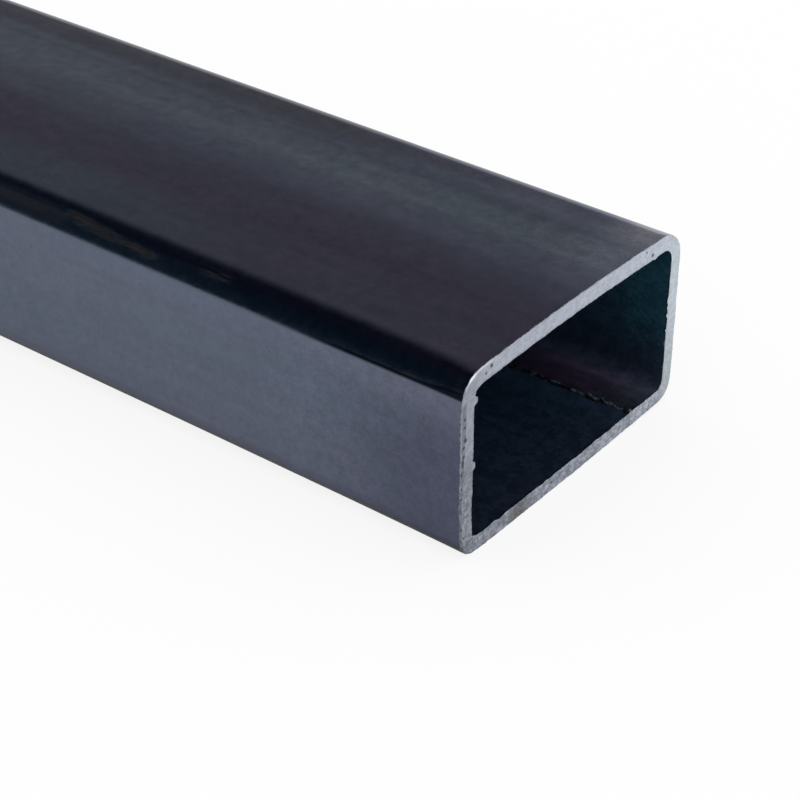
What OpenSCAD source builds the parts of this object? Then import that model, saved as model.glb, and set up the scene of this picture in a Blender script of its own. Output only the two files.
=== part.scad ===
// Rectangular steel hollow section, rolled and welded from strip and sawn square to length.
// The bar lies along X on a wide face, with the origin in the middle of that face. Millimetres.

/* [Section] */
// Outside width, across the two narrow faces
tube_w = 90; // [70:1:140]
// Outside height, across the two wide faces
tube_h = 50; // [40:1:90]
// Thickness of the wall
wall_t = 4; // [3:0.5:6.5]
// Outside radius of the rolled corners
corner_r = 8; // [6:0.5:12]
// Inside radius of the rolled corners
inner_r = 4; // [1:0.5:8]

/* [Bar] */
// Sawn length of the bar
bar_l = 1000; // [300:10:6000]

/* [Weld seam] */
// Distance of the inside weld bead from the middle of the lower wall
seam_y = 26; // [-26:1:26]
// Width of the bead at its foot
bead_w = 2.4; // [1.2:0.2:4]
// Height of the bead above the inside face
bead_h = 1; // [0.4:0.1:1.6]

/* [Hidden] */
$fn = 96;
steel = "#3d414a";
bore_w = tube_w - 2 * wall_t;
bore_h = tube_h - 2 * wall_t;
// Radius of the round crown that spans the bead's foot at the bead's height
bead_r = (pow(bead_w / 2, 2) + pow(bead_h, 2)) / (2 * bead_h);
// The bead grows out of the middle of the wall, so its foot is fused to the steel
bead_root = wall_t / 2;

// Rectangle w by h with its lower edge on the axis and its four corners rounded to r
module rolled_outline(w, h, r) {
    translate([-w / 2, r]) square([w, h - 2 * r]);
    translate([r - w / 2, 0]) square([w - 2 * r, h]);
    for (y = [r - w / 2, w / 2 - r], z = [r, h - r])
        translate([y, z]) circle(r = r);
}

// Cross-section of the weld bead, a round crown standing on the inside of the lower wall
module weld_bead() {
    translate([seam_y, wall_t]) intersection() {
        translate([0, bead_h - bead_r]) circle(r = bead_r);
        translate([-bead_r, -bead_root]) square([2 * bead_r, bead_root + bead_h]);
    }
}

// Cross-section of the stock: Y runs across the page and Z up it
module section() {
    difference() {
        rolled_outline(tube_w, tube_h, corner_r);
        translate([0, wall_t]) rolled_outline(bore_w, bore_h, inner_r);
    }
    weld_bead();
}

// The bar, its section carried along X
module tube() {
    color(steel) rotate([90, 0, 90]) linear_extrude(bar_l, center = true) section();
}

tube();
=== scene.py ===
"""A length of rectangular steel hollow section: dark mill scale outside, bare metal on the sawn ends."""

import bpy
import numpy as np
from mathutils import Matrix, Vector


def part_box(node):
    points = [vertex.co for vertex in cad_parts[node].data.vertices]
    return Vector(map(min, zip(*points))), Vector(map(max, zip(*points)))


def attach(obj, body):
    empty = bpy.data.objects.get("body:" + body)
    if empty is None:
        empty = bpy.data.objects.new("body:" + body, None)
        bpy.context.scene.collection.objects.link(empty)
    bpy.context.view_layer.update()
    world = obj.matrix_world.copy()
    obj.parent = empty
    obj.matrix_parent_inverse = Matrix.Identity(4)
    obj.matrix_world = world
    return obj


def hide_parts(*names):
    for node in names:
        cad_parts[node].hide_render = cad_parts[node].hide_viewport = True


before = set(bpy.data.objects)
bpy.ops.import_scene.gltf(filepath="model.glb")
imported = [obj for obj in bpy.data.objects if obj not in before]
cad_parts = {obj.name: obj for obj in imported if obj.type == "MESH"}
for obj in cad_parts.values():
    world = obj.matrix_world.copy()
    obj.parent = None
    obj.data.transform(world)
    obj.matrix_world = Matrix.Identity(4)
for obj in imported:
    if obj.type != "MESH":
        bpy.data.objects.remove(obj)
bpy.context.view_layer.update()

MM = 0.001
NEVER_ZERO = 1e-9           # least length to divide by
low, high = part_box("tube")
LENGTH, WIDTH, HEIGHT = high - low

# The section, in metres
WALL = 4 * MM
CORNER_R = 8 * MM
INNER_R = 4 * MM
CROWN = 1.1 * MM            # the upper wall stands this much proud at mid-width
CROWN_HALF = WIDTH / 2 - CORNER_R / 3
SEAM_Y = 26 * MM            # the inside weld bead, off the middle of the lower wall
BEAD_W = 2.4 * MM
BEAD_H = 1.0 * MM
BEAD_ASIDE = 0.7 * MM       # the crest of the bead lies this much beyond the seam
BEAD_SHORT = 0.08 * MM      # the bead ends this much behind the saw plane

# How the cut ends have sprung: the lower wall lifts by this much at its far edge, by a power of the distance
# across, and the lift fades out over this length. Three corners grow squarer. Each has its side (far 1,
# near -1), its level (upper 1, lower -1), the power of its superellipse and the length of its fading
SPRING_LIFT = 1.2 * MM
LIFT_POWER = 1.3
SPRING_FADE = 45 * MM
SQUARE_CORNERS = ((1, -1, 3.2, SPRING_FADE), (-1, -1, 2.6, SPRING_FADE), (-1, 1, 2.8, 7 * MM))

# The mesh: steps round the section, rows over a sawn end, and steps of the weld bead
WIDE_STEPS = 208
NARROW_STEPS = 97
CORNER_STEPS = 34
EDGE_ROWS = 5
RIM_ROWS = 11
BEAD_STEP = 0.7 * MM
BEAD_ROUND = 12
BEAD_DEPTH = 2              # depth in walls that marks the bead for its material

# Rows along the walls: their distances behind the cut double from the first one up to a limit, and a few
# even rows cross the middle of the bar. The inside rows lie a little farther back, to clear the burr
FIRST_ROW = 2 * MM
DOUBLED_UP_TO = 60 * MM
EVEN_FROM, EVEN_TO, EVEN_ROWS = 90 * MM, LENGTH / 2 - 30 * MM, 8
INSIDE_BACK = 1.5 * MM

# Parts of the surface, each with a material of its own
OUTSIDE, SAWN, INSIDE = 0, 1, 2

# Seeds of the rough lines
FRONT_SEED, BACK_SEED, BEAD_SEED = 7, 19, 31

# How the burr thins out inside the tube: shares of its reach behind the rim, and of its height there
BURR_FALL = np.array([[0.12, 1.0], [0.4, 0.5], [0.9, 0.1], [1.8, 0.0]])

# Bits of burr that stand into the hollow: place (y, z) on the sawn end, height and half-width, in mm
BURR_NUBS = (
    (-40.6, 42.5, 1.25, 1.2), (-40.6, 25.0, 0.9, 1.1), (-40.6, 27.6, 1.0, 0.3), (33.0, 46.0, 0.3, 0.8),
    (41.0, 30.6, 0.35, 0.9), (41.0, 26.3, 0.5, 0.5), (41.0, 21.8, 0.45, 0.4), (41.0, 28.4, 0.25, 0.4),
)

# Tallest outward lip of the burr on the near narrow wall, at the front and at the back end, in mm
FRONT_LIP, BACK_LIP = 0.45, 0.3

# Pits and chips in the sawn end: place (y, z) and radius, in mm, and how far noise bends their outlines
SAWN_PITS = (
    (-34.4, 48.9, 0.7), (-36.4, 47.8, 0.6), (28.9, 49.5, 0.45), (31.7, 47.6, 0.7), (-8.0, 2.6, 0.45),
    (-44.0, 39.4, 0.6), (-43.9, 37.2, 0.5), (-43.7, 33.7, 0.75), (-44.3, 31.9, 0.6), (-44.3, 29.5, 0.65),
    (-44.9, 24.8, 0.5), (-44.9, 20.9, 0.5), (-44.9, 18.2, 0.5), (-44.6, 9.4, 0.45), (-43.6, 6.6, 0.45),
)
PIT_WOBBLE = 0.6 * MM

# Middles of the brown stain and of the polished spot with its painted highlight on the sawn end
STAIN_PLACE = (LENGTH / 2, -21.5 * MM, 1.7 * MM)
POLISH_HIGHLIGHT_PLACE = (LENGTH / 2, -41.6 * MM, 49.3 * MM)

# Scuffs along the near upper corner: start and end behind the front cut, their heights and half thickness,
# in mm, and their strength. Both ends fade out
SCUFFS = (
    (127, 104, 48.5, 47.6, 1.25, 0.7), (108, 92, 47.3, 47.3, 1.1, 0.7), (82, 68, 48.5, 48.0, 1.2, 0.3),
)
SCUFF_FADE = 7 * MM

# The camera, from the middle of the sawn end that the picture shows
EYE = Vector((243.4, -381.6, 291.1)) * MM
AIM = Vector((-32.75, -25.46, -3.04)) * MM
ROLL = np.radians(0.27)
LENS = 101.7
SENSOR = 36

# The stage, in metres: the floor's half width, and the grey cards that the steel mirrors
FLOOR_REACH = 8
FRONT_X, FRONT_Y, FRONT_TOP = (-16, 12), -3, 6.2
OVERHEAD_X, OVERHEAD_Y, OVERHEAD_Z = (-45, 3.5), (-3.6, 15.6), 5.75

# Colours of the upper wall's bands, each with its place across, in mm, from the near edge to the far edge
UPPER_BANDS = (
    (-45, (0.069, 0.070, 0.106)),
    (-30, (0.084, 0.082, 0.125)),
    (-19, (0.075, 0.0715, 0.113)),
    (-8, (0.077, 0.076, 0.119)),
    (4, (0.098, 0.112, 0.160)),
    (19, (0.130, 0.156, 0.196)),
    (30, (0.097, 0.115, 0.158)),
    (38, (0.068, 0.073, 0.103)),
    (45, (0.062, 0.065, 0.090)),
)

# Other colours of the mill scale outside
UPPER_TEAL = (0.084, 0.108, 0.146, 1)
RUBBED_UPPER, RUBBED_CORNER = (0.21, 0.233, 0.30, 1), (0.33, 0.325, 0.38, 1)
WALL_PLAIN = (0.106, 0.124, 0.167, 1)
WALL_VIOLET = (0.102, 0.112, 0.156, 1)
WALL_TEAL = (0.099, 0.122, 0.164, 1)
# Darker patch on the other walls by the cut: patchy tone, and painted shade low down
END_PATCH_AND_SHADE = (0.074, 0.081, 0.120, 1)
COOL_TINT, WARM_TINT = (0.97, 1.005, 1.01, 1), (1.03, 0.99, 1.0, 1)
DARK_SPECK = (0.028, 0.029, 0.036, 1)
# Painted shade low on the near upper bend, standing in for the bend's dark reflection
BEND_PAINTED_SHADE = (0.005, 0.008, 0.013, 1)
# A dull grey patch farther back on the near upper bend
DULL_CORNER_PATCH = (0.053, 0.057, 0.074, 1)
SCUFF_BROWN = (0.032, 0.028, 0.027, 1)
GRAZING_TINT = (0.8, 0.8, 0.82, 1)

# Colours of the bare sawn steel
SAWN_NEAR, SAWN_FAR = (0.39, 0.42, 0.49, 1), (0.515, 0.555, 0.64, 1)
FAR_RIM_TINT = (1.03, 1.07, 1.0, 1)
NEAR_GRIME = (0.05, 0.055, 0.065, 1)
NEAR_STRIP = (0.17, 0.187, 0.22, 1)
PIT_DARK = (0.040, 0.046, 0.058, 1)
STAIN_BROWN = (0.145, 0.124, 0.102, 1)
# Near-white colour of the polished edge: polished metal, with a painted highlight
POLISHED_AND_HIGHLIGHT = (0.92, 0.95, 0.99, 1)

# Colours of the oxide inside, and the weld bead's painted shade in its hollows and painted light on its
# lumps and crest
OXIDE_PLAIN = (0.011, 0.025, 0.053, 1)
OXIDE_VIOLET = (0.0125, 0.024, 0.053, 1)
OXIDE_TEAL = (0.010, 0.027, 0.053, 1)
FAR_WALL_TEAL = (0.008, 0.056, 0.092, 1)
HEAT_VIOLET, HEAT_BLUE = (0.122, 0.077, 0.170, 1), (0.060, 0.073, 0.112, 1)
BEAD_HOLLOW_SHADE, BEAD_LIT_GREY = (0.002, 0.004, 0.008, 1), (0.03, 0.046, 0.06, 1)
BEAD_CREST_HIGHLIGHT = (0.105, 0.155, 0.205, 1)

# Colours of the stage
FLOOR_WHITE = (0.98, 0.98, 0.98, 1)
WHITE = (1, 1, 1, 1)
CARD_GREY = (0.33, 0.33, 0.33, 1)
FRONT_DARK, OVERHEAD_DARK = (0.012, 0.038, 0.060, 1), (0.024, 0.032, 0.052, 1)


def rolled_loop(width, height, radius, foot):
    """Rounded rectangle in (y, z) with its lower edge at z = foot: four straight runs, each followed by a
    quarter arc, walked anticlockwise as seen from +X. Returns the points and their outward normals."""
    flat_w, flat_h = width / 2 - radius, height / 2 - radius
    quarter = np.linspace(0, np.pi / 2, CORNER_STEPS, endpoint=False)
    points, normals = [], []
    for side in range(4):
        facing = (side - 1) * np.pi / 2
        out = np.array([np.cos(facing), np.sin(facing)])
        onward = np.array([-out[1], out[0]])
        if side % 2 == 0:
            half_run, reach, steps = flat_w, flat_h, WIDE_STEPS
        else:
            half_run, reach, steps = flat_h, flat_w, NARROW_STEPS
        along = np.linspace(-half_run, half_run, steps, endpoint=False)[:, None]
        spoke = np.stack([np.cos(facing + quarter), np.sin(facing + quarter)], 1)
        points += [(reach + radius) * out + along * onward, reach * out + half_run * onward + radius * spoke]
        normals += [np.broadcast_to(out, (steps, 2)), spoke]
    return np.concatenate(points) + [0, foot + height / 2], np.concatenate(normals)


outer, outer_out = rolled_loop(WIDTH, HEIGHT, CORNER_R, 0)
inner, inner_out = rolled_loop(WIDTH - 2 * WALL, HEIGHT - 2 * WALL, INNER_R, WALL)
stride = np.linalg.norm(np.roll(outer, -1, 0) - outer, axis=1)
GIRTH = stride.sum()
turn = (np.cumsum(stride) - stride) / GIRTH


def ragged(rng, shortest, longest):
    """Rough closed line round the section: a sum of cosines of random phase, each fitting a whole number of
    times into the girth, with wavelengths from shortest to longest. Its mean is 0 and its deviation 1."""
    waves = np.arange(max(1, round(GIRTH / longest)), round(GIRTH / shortest))[:, None]
    phase = rng.uniform(0, 2 * np.pi, waves.shape)
    weight = rng.normal(size=waves.shape) / np.sqrt(waves)
    line = (weight * np.cos(2 * np.pi * waves * turn + phase)).sum(0)
    return line / line.std()


def burr_line(rng, nubs):
    """Height of the burr over the inner edge: a ragged line, wavier low down and almost nothing on the far
    narrow wall, plus a flat-topped bell curve for each nub, of the distance from the nub's place."""
    far_wall = np.clip((inner[:, 0] - 30 * MM) / (11 * MM), 0, 1)
    low_down = np.clip(1 - (inner[:, 1] - WALL) / (8 * MM), 0, 1)
    wavy = (0.035 + 0.08 * low_down) * ragged(rng, 3 * MM, 14 * MM)
    line = 0.36 + wavy + 0.04 * ragged(rng, 0.8 * MM, 2.4 * MM)
    line = np.clip(line * (1 - 0.9 * far_wall), 0.02, 0.9) * MM
    for y, z, tall, wide in nubs:
        away = np.linalg.norm(inner - np.array([y, z]) * MM, axis=1)
        line += tall * MM * np.exp(-((away / (wide * MM)) ** 8))
    return line


def outer_lip(rng, tall):
    """How far the saw has dragged the outer edge outwards: a lip on the near narrow wall alone, thinning out
    evenly towards both corners, times a ragged line."""
    y, z = outer.T
    near_wall = np.clip((-y - 44 * MM) / (0.9 * MM), 0, 1)
    upward = np.clip((z - 6 * MM) / (14 * MM), 0, 1) * np.clip((45 * MM - z) / (4 * MM), 0, 1)
    return tall * MM * near_wall * upward * np.clip(1 + 0.12 * ragged(rng, 1.2 * MM, 8 * MM), 0.6, 1.4)


def sawn_end(rng, nubs, lip_tall):
    """One sawn end as rows from the outside wall, over the rim, to the inside wall. Each row gives, for
    every step round the section, how far it lies behind the saw plane and how deep into the wall.

    The outer edge is a quarter round of ragged radius, drawn outwards where it carries a lip. The rim is
    flat but for saw waves. At the inner edge the saw has dragged a ragged burr over the hollow, which thins
    out a little way inside."""
    edge = np.clip(0.26 + 0.07 * ragged(rng, 0.9 * MM, 6 * MM), 0.1, 0.6) * MM
    burr = burr_line(rng, nubs)
    reach = np.clip(0.55 + 0.2 * ragged(rng, 2 * MM, 12 * MM), 0.25, 1.2) * MM
    waves = np.clip(0.10 + 0.03 * ragged(rng, 6 * MM, 60 * MM), 0, 0.3) * MM
    swing = np.linspace(0, np.pi / 2, EDGE_ROWS, endpoint=False)[:, None]
    span = np.linspace(0, 1, RIM_ROWS)[:, None]
    grain = 0.012 * MM * rng.normal(size=(RIM_ROWS, turn.size))
    flare = outer_lip(rng, lip_tall)
    round_back = waves + (edge + 0.6 * flare) * (1 - np.sin(swing))
    round_deep = edge * (1 - np.cos(swing)) - flare * np.sin(swing)
    rim_back = waves + grain
    rim_deep = edge - flare + (WALL + burr + flare - edge) * span
    burr_back = waves + BURR_FALL[:, :1] * reach
    burr_deep = WALL + BURR_FALL[:, 1:] * burr
    part = np.repeat([SAWN, INSIDE], [EDGE_ROWS + RIM_ROWS + 1, len(BURR_FALL) - 1])
    back = np.concatenate([round_back, rim_back, burr_back])
    deep = np.concatenate([round_deep, rim_deep, burr_deep])
    return back, deep, part


def section_at(deep):
    """The section's points at a depth into the wall: straight from the outer to the inner outline, and past
    either of them along its normal. Above mid-height the crown of the upper wall is added, a parabola."""
    share = np.clip(deep / WALL, 0, 1)[..., None]
    proud = np.maximum(-deep, 0)[..., None]
    past = np.maximum(deep - WALL, 0)[..., None]
    yz = outer * (1 - share) + inner * share + outer_out * proud - inner_out * past
    rise = CROWN * np.clip(1 - (yz[..., 0] / CROWN_HALF) ** 2, 0, None)
    yz[..., 1] += np.where(yz[..., 1] > HEIGHT / 2, rise, 0)
    return yz


def sprung(points):
    """Moves points for the spring of the cut ends. Towards each end three corners grow squarer, from a
    circle to a superellipse about the same centre, and the lower wall lifts towards its far edge, by a power
    of the distance across. Both fade out along the bar, and the lift fades out up to mid-height."""
    x, y, z = points[..., 0], points[..., 1], points[..., 2]
    behind = LENGTH / 2 - np.abs(x)
    moved = points.copy()
    for side, level, power, fade in SQUARE_CORNERS:
        across = np.maximum(side * y - (WIDTH / 2 - CORNER_R), 0)
        upright = np.maximum(level * (z - HEIGHT / 2) - (HEIGHT / 2 - CORNER_R), 0)
        square = (across ** power + upright ** power) ** (1 / power)
        grow = (np.hypot(across, upright) / np.maximum(square, NEVER_ZERO) - 1) * np.exp(-behind / fade)
        moved[..., 1] += side * across * grow
        moved[..., 2] += level * upright * grow
    lift = np.clip(y / (WIDTH / 2), 0, 1) ** LIFT_POWER * np.clip(1 - z / (HEIGHT / 2), 0, 1)
    moved[..., 2] += SPRING_LIFT * np.exp(-behind / SPRING_FADE) * lift
    return moved


def stations():
    """Distances behind the saw plane for the wall's rows, doubling near the cut and even farther back."""
    doubled = FIRST_ROW * 2.0 ** np.arange(19)
    doubled = doubled[doubled < DOUBLED_UP_TO]
    return np.concatenate([doubled, np.linspace(EVEN_FROM, EVEN_TO, EVEN_ROWS)])


def closed_grid(rows, columns):
    """Quads of a grid that closes on itself both ways, and the row that each quad starts from."""
    row, column = np.divmod(np.arange(rows * columns), columns)
    next_row, next_column = (row + 1) % rows, (column + 1) % columns
    corners = [(row, column), (row, next_column), (next_row, next_column), (next_row, column)]
    return np.stack([r * columns + c for r, c in corners], 1), row


def tube_skin():
    """The whole surface of the tube as one closed grid: round the section one way, and the other way out
    along the outside, over the front rim, back along the inside and over the back rim. Returns the points,
    the faces, each face's part of the surface, and each point's depth as a share of the wall."""
    x_rows, deep_rows, part_rows = [], [], []
    far = np.repeat(stations()[:, None], turn.size, 1)
    for sign, seed, nubs, lip_tall in ((1, FRONT_SEED, BURR_NUBS, FRONT_LIP), (-1, BACK_SEED, (), BACK_LIP)):
        back, deep, part = sawn_end(np.random.default_rng(seed), nubs, lip_tall)
        rows_back = np.concatenate([far[::-1], back, far + INSIDE_BACK])
        rows_deep = np.concatenate([np.zeros_like(far), deep, np.full_like(far, WALL)])
        parts = np.concatenate([np.full(len(far), OUTSIDE), part, np.full(len(far), INSIDE)])
        order = slice(None, None, sign)
        x_rows.append(sign * (LENGTH / 2 - rows_back)[order])
        deep_rows.append(rows_deep[order])
        part_rows.append(parts[order])
    x, deep, part = np.concatenate(x_rows), np.concatenate(deep_rows), np.concatenate(part_rows)
    points = sprung(np.concatenate([x[..., None], section_at(deep)], 2))
    faces, rows = closed_grid(*x.shape)
    return points.reshape(-1, 3), faces, np.minimum(part, np.roll(part, -1))[rows], (deep / WALL).ravel()


def wander(rng, x, shortest, longest):
    """Rough open line along the bar: a sum of forty cosines of random phase, with wavelengths from shortest
    to longest. Its mean is 0 and its deviation 1."""
    length = np.geomspace(shortest, longest, 40)[:, None]
    line = np.cos(2 * np.pi * x / length + rng.uniform(0, 2 * np.pi, length.shape)).sum(0)
    return (line - line.mean()) / line.std()


def weld_bead():
    """The inside weld bead: an oval profile carried along X over the inner face of the lower wall, half sunk
    in it, whose height, width and place are rough lines along the bar. A strip of quads across each end ring
    closes it, flush with the sawn rim. Returns the points, the faces and each face's part of the surface."""
    rng = np.random.default_rng(BEAD_SEED)
    end = LENGTH / 2 - BEAD_SHORT
    x = np.linspace(-end, end, round(2 * end / BEAD_STEP))
    tall = BEAD_H * np.clip(0.46 + 0.28 * wander(rng, x, 2.2 * MM, 7 * MM), 0.1, 1.1)
    half = BEAD_W / 2 * np.clip(0.64 + 0.17 * wander(rng, x, 2.5 * MM, 14 * MM), 0.35, 1.1)
    middle = SEAM_Y + BEAD_ASIDE + 0.2 * MM * wander(rng, x, 6 * MM, 300 * MM)
    middle += 0.14 * MM * wander(rng, x, 1.8 * MM, 4 * MM)
    around = np.linspace(0, 2 * np.pi, BEAD_ROUND, endpoint=False)
    y = middle[:, None] + half[:, None] * np.cos(around)
    z = WALL + tall[:, None] * np.sin(around)
    points = sprung(np.stack([np.broadcast_to(x[:, None], y.shape), y, z], 2))
    last = (len(x) - 1) * BEAD_ROUND
    walls = closed_grid(len(x), BEAD_ROUND)[0][:last]
    k = np.arange(BEAD_ROUND // 2 - 1)
    cap = np.stack([k, k + 1, BEAD_ROUND - 2 - k, BEAD_ROUND - 1 - k], 1)
    faces = np.concatenate([walls, cap[:, ::-1], cap + last])
    parts = np.repeat([INSIDE, SAWN], [len(walls), 2 * len(cap)])
    return points.reshape(-1, 3), faces, parts


def mesh_object(name, points, faces, parts, depth, materials):
    """A mesh object at the origin from whole arrays, with one material for each part of the surface and each
    point's depth into the wall as an attribute."""
    mesh = bpy.data.meshes.new(name)
    mesh.vertices.add(len(points))
    mesh.vertices.foreach_set("co", points.astype(np.float32).ravel())
    mesh.loops.add(faces.size)
    mesh.loops.foreach_set("vertex_index", faces.astype(np.int32).ravel())
    mesh.polygons.add(len(faces))
    mesh.polygons.foreach_set("loop_start", np.arange(0, faces.size, faces.shape[1], dtype=np.int32))
    for material in materials:
        mesh.materials.append(material)
    mesh.polygons.foreach_set("material_index", parts.astype(np.int32))
    mesh.polygons.foreach_set("use_smooth", np.ones(len(faces), bool))
    mesh.attributes.new("depth", "FLOAT", "POINT").data.foreach_set("value", depth.astype(np.float32))
    mesh.update(calc_edges=True)
    mesh.validate()
    made = bpy.data.objects.new(name, mesh)
    bpy.context.scene.collection.objects.link(made)
    return made


def wire(tree, kind, sockets=(), **settings):
    """A shader node with its settings, whose inputs, by name or number, are linked to an output or set."""
    made = tree.nodes.new(kind)
    for name, value in settings.items():
        setattr(made, name, value)
    for name, value in dict(sockets).items():
        if isinstance(value, bpy.types.NodeSocket):
            tree.links.new(value, made.inputs[name])
        else:
            made.inputs[name].default_value = value
    return made


def place(tree, group, sockets):
    """A node group set into a material or another group. Returns its outputs."""
    return wire(tree, "ShaderNodeGroup", sockets, node_tree=group).outputs


def math(tree, operation, a, b=0.0, c=0.0):
    """The result of one arithmetic step on two or three values."""
    return wire(tree, "ShaderNodeMath", {0: a, 1: b, 2: c}, operation=operation).outputs[0]


def ease(tree, value, start, end, at_start=0.0, at_end=1.0, run="SMOOTHSTEP"):
    """A value carried from at_start to at_end while the input goes from start to end, smoothly unless the
    run is LINEAR."""
    return wire(tree, "ShaderNodeMapRange", {
        "Value": value, "From Min": start, "From Max": end, "To Min": at_start, "To Max": at_end,
    }, interpolation_type=run).outputs[0]


def mix(tree, factor, a, b, how="MIX"):
    """One colour laid over another by a factor."""
    return wire(tree, "ShaderNodeMix", {0: factor, 6: a, 7: b}, data_type="RGBA", blend_type=how).outputs[2]


def shade(tree, color, times, share=1.0):
    """A colour made lighter or darker by a value, or tinted by a colour, as far as the share goes."""
    return mix(tree, share, color, times, "MULTIPLY")


def joined(tree, first, *others):
    """The product of several masks."""
    for other in others:
        first = math(tree, "MULTIPLY", first, other)
    return first


def apart(tree, value, middle):
    """How far a value lies from a middle one, to either side."""
    return math(tree, "ABSOLUTE", math(tree, "SUBTRACT", value, middle))


def distance(tree, spot, middle):
    """How far a place lies from a middle point."""
    return wire(tree, "ShaderNodeVectorMath", {0: spot, 1: middle}, operation="DISTANCE").outputs["Value"]


def node_group(name, inputs, outputs):
    """An empty shader node group with named sockets. Returns it with its inner inputs and outputs."""
    tree = bpy.data.node_groups.new(name, "ShaderNodeTree")
    for direction, sockets in (("INPUT", inputs), ("OUTPUT", outputs)):
        for label, kind in sockets.items():
            tree.interface.new_socket(label, in_out=direction, socket_type="NodeSocket" + kind)
    return tree, tree.nodes.new("NodeGroupInput").outputs, tree.nodes.new("NodeGroupOutput").inputs


def streaks_group():
    """Streaks: noise whose cells are drawn out along the first axis. Along and Across are cells a metre."""
    tree, given, made = node_group(
        "drawn_streaks", {"Place": "Vector", "Along": "Float", "Across": "Float"}, {"Streak": "Float"})
    along, across = given["Along"], given["Across"]
    cells = wire(tree, "ShaderNodeCombineXYZ", {0: along, 1: across, 2: across}).outputs[0]
    drawn = wire(tree, "ShaderNodeVectorMath", {0: given["Place"], 1: cells}, operation="MULTIPLY")
    noise = wire(tree, "ShaderNodeTexNoise", {
        "Vector": drawn.outputs[0], "Scale": 1.0, "Detail": 4.0, "Roughness": 0.55, "Distortion": 0.15,
    })
    tree.links.new(ease(tree, noise.outputs[0], 0.3, 0.7), made["Streak"])
    return tree


def grain_group():
    """Even grain: two layers of noise, one of Cells a metre and one four times as coarse."""
    tree, given, made = node_group("even_grain", {"Place": "Vector", "Cells": "Float"}, {"Grain": "Float"})
    wide = math(tree, "DIVIDE", given["Cells"], 4.0)
    fine, coarse = (
        wire(tree, "ShaderNodeTexNoise", {"Vector": given["Place"], "Scale": cells, "Detail": 2.0})
        for cells in (given["Cells"], wide))
    both = math(tree, "ADD", fine.outputs[0], coarse.outputs[0])
    tree.links.new(ease(tree, both, 0.7, 1.3), made["Grain"])
    return tree


def specks_group():
    """Scattered specks: the space is split into cells, Cells a metre. A cell carries a speck where its first
    random number is under Share, and its second one sets the speck's radius, up to Size cells."""
    tree, given, made = node_group(
        "scattered_specks", {"Place": "Vector", "Cells": "Float", "Share": "Float", "Size": "Float"},
        {"Speck": "Float"})
    cell = wire(tree, "ShaderNodeTexVoronoi", {"Vector": given["Place"], "Scale": given["Cells"]})
    lot = wire(tree, "ShaderNodeSeparateColor", {0: cell.outputs["Color"]})
    carried = math(tree, "LESS_THAN", lot.outputs[0], given["Share"])
    radius = math(tree, "MULTIPLY", given["Size"], ease(tree, lot.outputs[1], 0.0, 1.0, 0.35, 1.0))
    spot = ease(tree, math(tree, "DIVIDE", cell.outputs["Distance"], radius), 0.5, 1.0, 1.0, 0.0)
    tree.links.new(math(tree, "MULTIPLY", spot, carried), made["Speck"])
    return tree


def tints_group(streaks):
    """Oxide tints: a plain colour that drifts to violet and to teal by two sets of broad lengthwise streaks,
    the second of them taken from another place."""
    tree, given, made = node_group(
        "oxide_tints", {"Place": "Vector", "Plain": "Color", "Violet": "Color", "Teal": "Color"},
        {"Color": "Color"})
    first = place(tree, streaks, {"Place": given["Place"], "Along": 5.0, "Across": 55.0})
    aside = wire(tree, "ShaderNodeVectorMath", {0: given["Place"], 1: (3.7, 1.9, 5.3)}, operation="ADD")
    second = place(tree, streaks, {"Place": aside.outputs[0], "Along": 7.0, "Across": 70.0})
    violet = mix(tree, math(tree, "MULTIPLY", first["Streak"], 0.8), given["Plain"], given["Violet"])
    teal = ease(tree, second["Streak"], 0.45, 1.0, 0.0, 0.8)
    tree.links.new(mix(tree, teal, violet, given["Teal"]), made["Color"])
    return tree


def new_material(name, metallic):
    """A material with a Principled shader. Returns it, its tree, its shader and the place on the piece."""
    made = bpy.data.materials.new(name)
    made.use_nodes = True
    tree = made.node_tree
    shader = tree.nodes["Principled BSDF"]
    shader.inputs["Metallic"].default_value = metallic
    return made, tree, shader.inputs, wire(tree, "ShaderNodeTexCoord").outputs["Object"]


def measures(tree, spot):
    """Three measures of a place on the piece: how far it lies behind the front cut, its y and its z."""
    x, y, z = wire(tree, "ShaderNodeSeparateXYZ", {0: spot}).outputs
    return math(tree, "SUBTRACT", LENGTH / 2, x), y, z


def wall_depth(tree):
    """The depth into the wall as a share of the wall, which the mesh carries as an attribute."""
    return wire(tree, "ShaderNodeAttribute", attribute_name="depth").outputs["Fac"]


def finish_material(tree, shader, color, roughness, height, depth):
    """Links the colour, the roughness and a bump of the given height in metres to the shader."""
    bump = wire(tree, "ShaderNodeBump", {"Height": height, "Strength": 1.0, "Distance": depth})
    for name, socket in (("Base Color", color), ("Roughness", roughness), ("Normal", bump.outputs[0])):
        tree.links.new(socket, shader[name])


def band_ramp(tree, value, bands):
    """Colours across the upper wall: a smooth run through the bands, each given as its place and colour."""
    made = wire(tree, "ShaderNodeValToRGB", {0: ease(tree, value, -WIDTH / 2, WIDTH / 2, run="LINEAR")})
    stops = made.color_ramp.elements
    made.color_ramp.interpolation = "EASE"
    while len(stops) < len(bands):
        stops.new(0.5)
    for stop, (across, color) in zip(stops, bands):
        stop.position = across * MM / WIDTH + 0.5
        stop.color = (*color, 1)
    return made.outputs[0]


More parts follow.
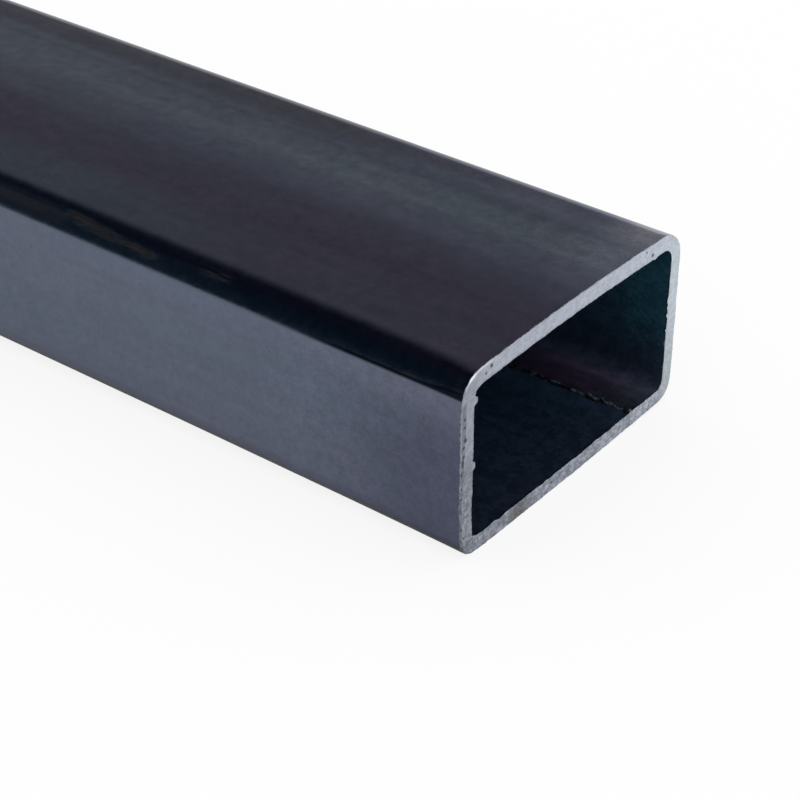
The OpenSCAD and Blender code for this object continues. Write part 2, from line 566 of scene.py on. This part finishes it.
def upper_wall(tree, behind, y, broad):
    """Colour of the upper wall: bands across it that drift a little, teal along its near edge away from the
    cut, lighter bands towards the cut, and rubbed steel beside the far part of the cut."""
    drift = math(tree, "MULTIPLY", math(tree, "SUBTRACT", broad, 0.5), 9 * MM)
    color = band_ramp(tree, math(tree, "ADD", y, drift), UPPER_BANDS)
    near_teal = joined(tree, ease(tree, y, -19 * MM, -29 * MM), ease(tree, behind, 55 * MM, 140 * MM), 0.75)
    color = mix(tree, near_teal, color, UPPER_TEAL)
    middle = joined(
        tree, ease(tree, behind, 150 * MM, 40 * MM), ease(tree, y, -6 * MM, 4 * MM),
        ease(tree, y, 26 * MM, 16 * MM))
    far_edge = joined(tree, ease(tree, behind, 120 * MM, 15 * MM), ease(tree, y, 24 * MM, 36 * MM))
    for mask, most in ((middle, 1.12), (far_edge, 1.62)):
        color = shade(tree, color, ease(tree, mask, 0.0, 1.0, 1.0, most, run="LINEAR"))
    rubbed = joined(tree, ease(tree, behind, 22 * MM, 0), ease(tree, y, 0, 20 * MM))
    far_end = joined(tree, ease(tree, behind, 17 * MM, 6 * MM), ease(tree, y, 24 * MM, 36 * MM))
    return mix(tree, rubbed, color, mix(tree, far_end, RUBBED_UPPER, RUBBED_CORNER))


def other_walls(tree, tints, spot, behind, z, broad):
    """Colour of the other walls: tints that drift along the bar, a darker patch by the cut that is partly
    patchy tone and partly painted shade low down, slightly lighter edges that are a painted reflection, and
    painted shade along the foot."""
    color = place(tree, tints, {
        "Place": spot, "Plain": WALL_PLAIN, "Violet": WALL_VIOLET, "Teal": WALL_TEAL,
    })["Color"]
    # Partly painted shade: the patch is strongest low down near the cut, where the wall mirrors the floor's
    # shadow
    by_cut_and_shade = joined(
        tree, ease(tree, behind, 50 * MM, 8 * MM), ease(tree, z, 43 * MM, 29 * MM, 0.15, 1.0),
        ease(tree, broad, 0.0, 0.6))
    color = mix(tree, by_cut_and_shade, color, END_PATCH_AND_SHADE)
    # Painted reflection: the wall is a little lighter near its upper and lower edges
    color = shade(tree, color, ease(tree, apart(tree, z, HEIGHT / 2), 10 * MM, 15 * MM, 1.0, 1.06))
    # Painted shade: the foot of the wall is darkened, standing in for the floor's shadow that the lower bend
    # mirrors
    return shade(tree, color, ease(tree, z, 1.2 * MM, 6 * MM, 0.15, 1.0))


def corner_marks(tree, streaks, spot, behind, y, z, color):
    """Marks on the near upper corner: painted shade, a dark strip low on the bend towards the cut that
    stands in for the bend's dark reflection, a dull grey patch farther back, and worn brown scuffs along
    straight lines. Returns the colour and the dullness."""
    on_corner = ease(tree, y, -38 * MM, -40 * MM)
    strip_top = ease(tree, behind, 16 * MM, -2 * MM, 45.2 * MM, 46.4 * MM)
    bend_painted_shade = joined(
        tree, on_corner, ease(tree, behind, 70 * MM, 30 * MM), ease(tree, z, 43.9 * MM, 44.7 * MM),
        ease(tree, math(tree, "SUBTRACT", z, strip_top), 0.4 * MM, -0.4 * MM))
    # Painted shade: the lower part of the bend near the cut is darkened like its dark reflection
    color = mix(tree, bend_painted_shade, color, BEND_PAINTED_SHADE)
    marks = place(tree, streaks, {"Place": spot, "Along": 22.0, "Across": 600.0})["Streak"]
    # A dull grey patch farther back on the bend, which also lowers the metallic
    dull_patch = joined(
        tree, on_corner, ease(tree, behind, 120 * MM, 136 * MM), ease(tree, z, 45 * MM, 47 * MM),
        ease(tree, z, 49.5 * MM, 48.0 * MM), ease(tree, marks, 0.0, 1.0, 0.2, 0.45))
    rubs = place(tree, streaks, {"Place": spot, "Along": 110.0, "Across": 900.0})["Streak"]
    worn = ease(tree, rubs, 0.15, 0.7)
    astray = math(tree, "MULTIPLY", math(tree, "SUBTRACT", marks, 0.5), 0.4 * MM)
    level = math(tree, "ADD", z, astray)
    scuff = 0.0
    for start, end, up_start, up_end, thick, strength in SCUFFS:
        run = start - end
        from_start = math(tree, "SUBTRACT", start * MM, behind)
        middle = math(tree, "MULTIPLY_ADD", from_start, (up_end - up_start) / run, up_start * MM)
        line = joined(
            tree, on_corner, ease(tree, apart(tree, level, middle), thick * MM, 0),
            ease(tree, from_start, 0, SCUFF_FADE), ease(tree, from_start, run * MM, run * MM - SCUFF_FADE),
            worn, strength)
        scuff = math(tree, "MAXIMUM", scuff, line)
    color = mix(tree, ease(tree, dull_patch, 0.0, 0.3), color, DULL_CORNER_PATCH)
    color = mix(tree, ease(tree, scuff, 0.0, 0.4), color, SCUFF_BROWN)
    dull = math(tree, "MAXIMUM", math(tree, "MULTIPLY", dull_patch, 0.35), math(tree, "MULTIPLY", scuff, 0.85))
    return color, dull


def mill_scale_outside(streaks, grain, specks, tints):
    """Blue-grey mill scale: broad bands along the upper wall, violet and teal drifts on the other walls,
    fine rolling lines, blotches, grain and dark specks, and the marks on the near upper corner. Away from
    the cut the other walls are calmer than the upper one."""
    made, tree, shader, spot = new_material("mill_scale_outside", 1.0)
    behind, y, z = measures(tree, spot)
    broad = place(tree, streaks, {"Place": spot, "Along": 6.0, "Across": 14.0})["Streak"]
    lines = place(tree, streaks, {"Place": spot, "Along": 5.0, "Across": 260.0})["Streak"]
    hue = place(tree, streaks, {"Place": spot, "Along": 26.0, "Across": 75.0})["Streak"]
    fine = place(tree, grain, {"Place": spot, "Cells": 1700.0})["Grain"]
    patchy = place(tree, grain, {"Place": spot, "Cells": 260.0})["Grain"]
    dots = place(tree, specks, {"Place": spot, "Cells": 450.0, "Share": 0.3, "Size": 0.2})["Speck"]

    on_top = ease(tree, z, 44 * MM, 49.2 * MM)
    color = mix(
        tree, on_top, other_walls(tree, tints, spot, behind, z, broad), upper_wall(tree, behind, y, broad))
    tinted, blotched, grained = (
        math(tree, "MAXIMUM", on_top, ease(tree, behind, 70 * MM, 40 * MM, calm, lively))
        for calm, lively in ((0.2, 0.8), (0.5, 0.65), (0.62, 1.0)))
    color = shade(tree, color, mix(tree, hue, COOL_TINT, WARM_TINT), tinted)
    for share, mask, most in ((1.0, lines, 0.035), (blotched, patchy, 0.05), (grained, fine, 0.08)):
        color = shade(tree, color, ease(tree, mask, 0.0, 1.0, 1 - most, 1 + most), share)
    color = mix(tree, math(tree, "MULTIPLY", dots, 0.3), color, DARK_SPECK)
    color, dull = corner_marks(tree, streaks, spot, behind, y, z, color)

    tree.links.new(math(tree, "SUBTRACT", 1.0, dull), shader["Metallic"])
    shader["Specular Tint"].default_value = GRAZING_TINT
    rough = math(tree, "ADD", ease(tree, lines, 0.0, 1.0, 0.17, 0.22), ease(tree, fine, 0.0, 1.0, 0.0, 0.04))
    height = math(tree, "ADD", math(tree, "MULTIPLY", lines, 0.5), fine)
    finish_material(tree, shader, color, rough, height, 0.004 * MM)
    return made


def near_rim(tree, chips, depth, y, z, color):
    """Marks on the rim of the near wall: a faint dirty patch, and a darker strip along the outer edge that
    is broken by dark chips. Returns the colour and the mask of the chips."""
    near_wall = ease(tree, y, -39.8 * MM, -41.4 * MM)
    patch = joined(tree, near_wall, ease(tree, apart(tree, z, 22 * MM), 9 * MM, 3 * MM), 0.2)
    color = mix(tree, patch, color, NEAR_GRIME)
    past_chips = math(tree, "SUBTRACT", depth, ease(tree, z, 20 * MM, 40 * MM, 0.03, 0.25))
    strip = joined(
        tree, near_wall, ease(tree, past_chips, 0.18, 0.04), ease(tree, z, 44 * MM, 42 * MM),
        ease(tree, depth, -0.06, 0.01))
    color = mix(tree, math(tree, "MULTIPLY", strip, 0.75), color, NEAR_STRIP)
    chipped = joined(
        tree, strip, ease(tree, z, 10 * MM, 24 * MM, 0.6, 1.0), ease(tree, past_chips, -0.2, -0.1),
        ease(tree, chips, 0.5, 0.72))
    return color, chipped


def placed_pits(tree, spot, pits):
    """Adds the pits of SAWN_PITS to a mask: balls about their places, whose outlines are bent by noise."""
    noise = wire(tree, "ShaderNodeTexNoise", {"Vector": spot, "Scale": 1500.0}).outputs["Color"]
    bent = wire(
        tree, "ShaderNodeVectorMath", {0: noise, 1: (PIT_WOBBLE,) * 3, 2: spot}, operation="MULTIPLY_ADD")
    for across, up, radius in SAWN_PITS:
        middle = tuple(v + PIT_WOBBLE / 2 for v in (LENGTH / 2, across * MM, up * MM))
        away = distance(tree, bent.outputs[0], middle)
        pits = math(tree, "MAXIMUM", pits, ease(tree, away, radius * MM, 0.5 * radius * MM))
    return pits


def polished_edge_and_highlight(tree, spot, depth, y, z):
    """Mask of the polished outer edge and its painted highlight: a bright spot on the near upper corner, and
    a fainter line that runs on from it along the upper wall."""
    near_spot = ease(tree, distance(tree, spot, POLISH_HIGHLIGHT_PLACE), 2.6 * MM, 0.5 * MM)
    bright = joined(tree, near_spot, ease(tree, depth, 0.22, 0.06))
    line = joined(
        tree, ease(tree, y, -31 * MM, -37 * MM), ease(tree, z, 46 * MM, 48 * MM),
        ease(tree, depth, 0.16, 0.05), 0.5)
    return math(tree, "MAXIMUM", bright, line)


def sawn_steel(streaks, grain, specks):
    """Bare sawn steel: mottled bright metal with faint saw lines, darker low down by painted shade and
    darker on the near wall, with the near rim's marks, pits, a brown stain low down and a polished outer
    edge with a painted highlight."""
    made, tree, shader, spot = new_material("sawn_steel", 1.0)
    x, y, z = wire(tree, "ShaderNodeSeparateXYZ", {0: spot}).outputs
    depth = wall_depth(tree)
    level = wire(tree, "ShaderNodeCombineXYZ", {0: y, 1: z, 2: x}).outputs[0]
    upright = wire(tree, "ShaderNodeCombineXYZ", {0: z, 1: y, 2: x}).outputs[0]
    lines = place(tree, streaks, {"Place": level, "Along": 60.0, "Across": 2400.0})["Streak"]
    chips = place(tree, streaks, {"Place": upright, "Along": 450.0, "Across": 850.0})["Streak"]
    mottle = place(tree, grain, {"Place": spot, "Cells": 2400.0})["Grain"]
    blotch = place(tree, grain, {"Place": spot, "Cells": 1100.0})["Grain"]
    pits = place(tree, specks, {"Place": spot, "Cells": 330.0, "Share": 0.2, "Size": 0.13})["Speck"]

    color = mix(tree, ease(tree, y, -WIDTH / 2, WIDTH / 2, run="LINEAR"), SAWN_NEAR, SAWN_FAR)
    low_down = joined(tree, ease(tree, z, 40 * MM, 8 * MM), ease(tree, y, 41 * MM, 36 * MM, 0.15, 1.0))
    for mask, least, most in ((mottle, 0.14, 0.30), (blotch, 0.03, 0.22)):
        swing = ease(tree, mask, 0.0, 1.0, -1.0, 1.0)
        strength = ease(tree, low_down, 0.0, 1.0, least, most)
        color = shade(tree, color, math(tree, "MULTIPLY_ADD", swing, strength, 1.0))
    color = shade(tree, color, ease(tree, lines, 0.0, 1.0, 0.95, 1.04))
    # Painted shade: the sawn end grows darker towards the floor, standing in for the floor's shadow that it
    # mirrors
    color = shade(tree, color, ease(tree, z, 2 * MM, 33 * MM, 0.77, 1.0))
    color = shade(tree, color, ease(tree, y, -43 * MM, -36 * MM, 0.82, 1.0))
    color = shade(tree, color, FAR_RIM_TINT, ease(tree, y, 40 * MM, 41.5 * MM))

    color, chipped = near_rim(tree, chips, depth, y, z, color)
    pits = placed_pits(tree, spot, math(tree, "MAXIMUM", pits, chipped))
    color = mix(tree, math(tree, "MULTIPLY", pits, 0.9), color, PIT_DARK)
    near_stain = ease(tree, distance(tree, spot, STAIN_PLACE), 6 * MM, 1 * MM)
    color = mix(tree, joined(tree, near_stain, ease(tree, mottle, 0.1, 0.7), 0.9), color, STAIN_BROWN)
    polish_and_highlight = polished_edge_and_highlight(tree, spot, depth, y, z)
    # Painted highlight: the polished edge turns near white, standing in for its catch-light
    color = mix(tree, polish_and_highlight, color, POLISHED_AND_HIGHLIGHT)

    rough = math(tree, "MULTIPLY_ADD", polish_and_highlight, -0.15, ease(tree, mottle, 0.0, 1.0, 0.40, 0.52))
    height = math(tree, "SUBTRACT", math(tree, "ADD", lines, mottle), math(tree, "MULTIPLY", pits, 4.0))
    finish_material(tree, shader, color, rough, height, 0.01 * MM)
    return made


def heat_tint(tree, behind, y, z, lines, patchy):
    """The heat tint beside the weld bead: violet that turns blue towards the cut and towards the far wall,
    and grows lighter away from the bead. Returns its mask and its colour."""
    mask = joined(
        tree, ease(tree, y, 26.6 * MM, 27.8 * MM), ease(tree, y, 42 * MM, 38 * MM),
        ease(tree, z, 10 * MM, 5 * MM), ease(tree, behind, 45 * MM, 22 * MM, 0.4, 1.0),
        ease(tree, lines, 0.2, 0.8, 0.75, 1.0))
    by_far_wall = ease(tree, y, 35.5 * MM, 39.5 * MM, 0.0, 0.8)
    bluer = math(tree, "MAXIMUM", ease(tree, behind, 24 * MM, 3 * MM), by_far_wall)
    color = mix(tree, bluer, HEAT_VIOLET, HEAT_BLUE)
    color = shade(tree, color, ease(tree, y, 28.5 * MM, 41.5 * MM, 0.36, 1.42))
    return mask, shade(tree, color, ease(tree, patchy, 0.0, 1.0, 0.82, 1.16))


def bead_light_and_shade(tree, streaks, spot, behind, y):
    """Painted light and shade of the weld bead: black painted shade in its hollows, grey lumps lit by
    painted light, and a broken bright crest on its far side towards the cut, a painted highlight.
    """
    beads = place(tree, streaks, {"Place": spot, "Along": 400.0, "Across": 600.0})["Streak"]
    crest = joined(
        tree, ease(tree, beads, 0.36, 0.62, 0.08, 1.0), ease(tree, y, 26.1 * MM, 26.6 * MM),
        ease(tree, behind, 34 * MM, 20 * MM, 0.25, 1.0))
    lumps = mix(tree, ease(tree, beads, 0.45, 0.7), BEAD_HOLLOW_SHADE, BEAD_LIT_GREY)
    return mix(tree, crest, lumps, BEAD_CREST_HIGHLIGHT)


def mill_scale_inside(streaks, grain, tints):
    """Dull oxide inside the tube: blue-black with teal and violet drifts, darker by the cut, teal on the far
    wall, lighter on the near side of the weld bead, a heat tint on its far side, and the bead itself with
    painted light and shade."""
    made, tree, shader, spot = new_material("mill_scale_inside", 0.4)
    behind, y, z = measures(tree, spot)
    fine = place(tree, grain, {"Place": spot, "Cells": 900.0})["Grain"]
    lines = place(tree, streaks, {"Place": spot, "Along": 12.0, "Across": 500.0})["Streak"]
    patchy = place(tree, streaks, {"Place": spot, "Along": 130.0, "Across": 420.0})["Streak"]

    color = place(tree, tints, {
        "Place": spot, "Plain": OXIDE_PLAIN, "Violet": OXIDE_VIOLET, "Teal": OXIDE_TEAL,
    })["Color"]
    color = shade(tree, color, ease(tree, behind, 50 * MM, 3 * MM, 1.75, 0.9))
    far_wall = joined(
        tree, ease(tree, y, 37 * MM, 40.5 * MM), ease(tree, z, 10 * MM, 28 * MM),
        ease(tree, behind, 22 * MM, 7 * MM, 0.25, 1.0))
    color = mix(tree, far_wall, color, FAR_WALL_TEAL)
    by_bead = joined(
        tree, ease(tree, y, 17 * MM, 24 * MM), ease(tree, y, 27 * MM, 26.5 * MM),
        ease(tree, z, 8 * MM, 5 * MM))
    color = shade(tree, color, ease(tree, by_bead, 0.0, 1.0, 1.0, 1.5, run="LINEAR"))
    heated, heat_color = heat_tint(tree, behind, y, z, lines, patchy)
    color = mix(tree, heated, color, heat_color)
    color = shade(tree, color, ease(tree, fine, 0.0, 1.0, 0.8, 1.15))
    on_bead = ease(tree, wall_depth(tree), 0.6 + BEAD_DEPTH / 2, BEAD_DEPTH)
    # The bead's colour is painted light and shade: dark hollows, lit lumps and a highlighted crest
    color = mix(tree, on_bead, color, bead_light_and_shade(tree, streaks, spot, behind, y))

    rough = math(tree, "ADD", ease(tree, fine, 0.0, 1.0, 0.42, 0.56), ease(tree, lines, 0.0, 1.0, 0.0, 0.08))
    finish_material(tree, shader, color, rough, math(tree, "ADD", fine, lines), 0.015 * MM)
    return made


def camera():
    """The camera stands at EYE and looks at AIM, both from the middle of the sawn end, with a small roll."""
    end = Vector((high.x, 0, HEIGHT / 2))
    data = bpy.data.cameras.new("camera")
    data.lens = LENS
    data.sensor_width = SENSOR
    made = bpy.data.objects.new("camera", data)
    bpy.context.scene.collection.objects.link(made)
    turned = (AIM - EYE).to_track_quat("-Z", "Y").to_matrix() @ Matrix.Rotation(ROLL, 3, "Z")
    made.matrix_world = Matrix.Translation(end + EYE) @ turned.to_4x4()
    bpy.context.scene.camera = made


def plate(name, corners, material):
    """A flat stage card with the given corners."""
    mesh = bpy.data.meshes.new(name)
    mesh.from_pydata(corners, [], [tuple(range(len(corners)))])
    mesh.materials.append(material)
    made = bpy.data.objects.new(name, mesh)
    bpy.context.scene.collection.objects.link(made)
    return made


def stage_material(name):
    """A material with an empty tree. Returns it, its tree and the x, y and z of the place on the piece."""
    made = bpy.data.materials.new(name)
    made.use_nodes = True
    tree = made.node_tree
    tree.nodes.clear()
    spot = wire(tree, "ShaderNodeTexCoord").outputs["Object"]
    return made, tree, wire(tree, "ShaderNodeSeparateXYZ", {0: spot}).outputs


def floor_paint():
    """White floor: diffuse white, which the camera and the reflections see mixed with plain white, so that
    the tube's shadow stays but is faint. Close to the tube the reflections see the bare floor with its
    shadow."""
    made, tree, spot = stage_material("floor_paint")
    matte = wire(tree, "ShaderNodeBsdfDiffuse", {"Color": FLOOR_WHITE}).outputs[0]
    white = wire(tree, "ShaderNodeEmission", {"Color": WHITE, "Strength": 1.0}).outputs[0]
    ray = wire(tree, "ShaderNodeLightPath").outputs
    looked_at = math(tree, "MAXIMUM", ray["Is Camera Ray"], ray["Is Transmission Ray"])
    beside = math(tree, "SUBTRACT", math(tree, "ABSOLUTE", spot["Y"]), WIDTH / 2)
    beyond = math(tree, "SUBTRACT", math(tree, "ABSOLUTE", spot["X"]), LENGTH / 2)
    clear = ease(tree, math(tree, "MAXIMUM", beside, beyond), -3 * MM, 9 * MM, 0.0, 0.55)
    mirrored = joined(tree, ray["Is Glossy Ray"], clear)
    whitened = math(tree, "MAXIMUM", math(tree, "MULTIPLY", looked_at, 0.85), mirrored)
    mixed = wire(tree, "ShaderNodeMixShader", {0: whitened, 1: matte, 2: white}).outputs[0]
    wire(tree, "ShaderNodeOutputMaterial", {"Surface": mixed})
    return made


def grey_card(name, dark, mask):
    """A middle grey card with a very dark blue patch. The mask of the patch is made from the place on the
    card."""
    made, tree, spot = stage_material(name)
    tone = mix(tree, mask(tree, spot), CARD_GREY, dark)
    glow = wire(tree, "ShaderNodeEmission", {"Color": tone}).outputs[0]
    wire(tree, "ShaderNodeOutputMaterial", {"Surface": glow})
    return made


def front_patch(tree, spot):
    """Dark patch of the front card: a leaning band."""
    lean = math(tree, "MULTIPLY_ADD", spot["Z"], 0.4, spot["X"])
    return joined(tree, ease(tree, spot["X"], 0.1, -0.75), ease(tree, lean, -3.9, -2.0))


def overhead_patch(tree, spot):
    """Dark patch of the overhead card: its front part, between a left and a right limit."""
    x, y = spot["X"], spot["Y"]
    return joined(tree, ease(tree, y, 4.5, 0.6), ease(tree, x, -0.3, -1.9), ease(tree, x, -9.0, -5.4))


def studio():
    """White floor and dome, and two large grey cards that only the steel's reflections see, one in front and
    one overhead, with dark patches where the near upper corner mirrors them."""
    scene = bpy.context.scene
    scene.view_settings.view_transform = "Standard"
    world = bpy.data.worlds.new("dome")
    scene.world = world
    world.use_nodes = True
    world.node_tree.nodes["Background"].inputs["Color"].default_value = WHITE
    world.node_tree.nodes["Background"].inputs["Strength"].default_value = 1
    r = FLOOR_REACH
    plate("floor", [(-r, -r, 0), (r, -r, 0), (r, r, 0), (-r, r, 0)], floor_paint())
    (left, right), y, top = FRONT_X, FRONT_Y, FRONT_TOP
    front = plate(
        "front_card", [(left, y, 0), (right, y, 0), (right, y, top), (left, y, top)],
        grey_card("front_card", FRONT_DARK, front_patch))
    (left, right), (near, far), z = OVERHEAD_X, OVERHEAD_Y, OVERHEAD_Z
    over = plate(
        "overhead_card", [(left, near, z), (right, near, z), (right, far, z), (left, far, z)],
        grey_card("overhead_card", OVERHEAD_DARK, overhead_patch))
    for card in (front, over):
        card.visible_camera = False
        card.visible_diffuse = False
        card.visible_shadow = False


streaks, grain, specks = streaks_group(), grain_group(), specks_group()
tints = tints_group(streaks)
skin_points, skin_faces, skin_parts, skin_depth = tube_skin()
bead_points, bead_faces, bead_parts = weld_bead()
tube = mesh_object(
    "tube_steel", np.concatenate([skin_points, bead_points]),
    np.concatenate([skin_faces, bead_faces + len(skin_points)]), np.concatenate([skin_parts, bead_parts]),
    np.concatenate([skin_depth, np.full(len(bead_points), BEAD_DEPTH)]),
    [mill_scale_outside(streaks, grain, specks, tints), sawn_steel(streaks, grain, specks),
     mill_scale_inside(streaks, grain, tints)])
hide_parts("tube")
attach(tube, "root")
camera()
studio()
